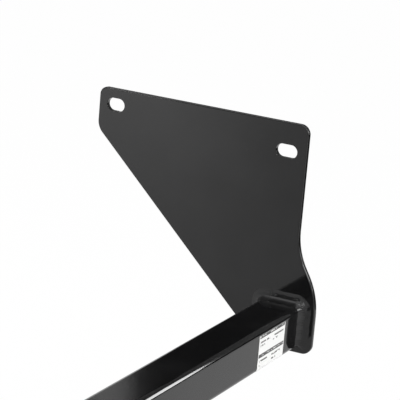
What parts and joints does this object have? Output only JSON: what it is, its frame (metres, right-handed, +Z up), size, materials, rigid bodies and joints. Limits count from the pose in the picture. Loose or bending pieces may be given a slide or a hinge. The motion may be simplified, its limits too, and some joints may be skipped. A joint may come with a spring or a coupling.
{
  "type": "trailer hitch",
  "caption": "Black receiver hitch: a square cross tube between two slotted side plates, with a receiver tube, chain plate, hitch pin and spring clip under its middle.",
  "frame": {"origin": "mount vehicle_frame: midway between the side plates, at the centre of their four slots", "axes": "+X to the vehicle's right, square to the side plates; +Y to the vehicle's front, away from the receiver's mouth; +Z up"},
  "size_m": [1.0286, 0.455, 0.3366],
  "materials": {
    "painted_steel": "black powder coat, satin to semi-gloss",
    "painted_weld": "black powder coat over a rippled weld bead",
    "zinc_steel": "bright zinc plating",
    "spring_steel": "bright zinc-plated spring wire",
    "label_film": "printed film, matt"
  },
  "bodies": {
    "hitch": {"cross_tube": "painted_steel", "right_side_plate": "painted_steel", "left_side_plate": "painted_steel", "right_plate_weld": "painted_weld", "left_plate_weld": "painted_weld", "receiver_tube": "painted_steel", "receiver_collar": "painted_steel", "collar_weld": "painted_weld", "front_saddle_weld": "painted_weld", "rear_saddle_weld": "painted_weld", "right_saddle_weld": "painted_weld", "left_saddle_weld": "painted_weld", "right_gusset": "painted_steel", "left_gusset": "painted_steel", "right_gusset_welds": "painted_weld", "left_gusset_welds": "painted_weld", "chain_plate": "painted_steel", "right_chain_weld": "painted_weld", "left_chain_weld": "painted_weld", "tube_label": "label_film"},
    "pin": {"hitch_pin": "zinc_steel"},
    "clip": {"pin_clip": "spring_steel"}
  },
  "joints": [
    {"name": "pin_turn", "type": "hinge", "parent": "hitch", "child": "pin", "pos_m": [0, -0.254, -0.2627], "axis": [1, 0, 0], "continuous": true},
    {"name": "clip_pull", "type": "slide", "parent": "pin", "child": "clip", "axis": [0, 0, 1], "range_m": [0, 0.03]}
  ]
}
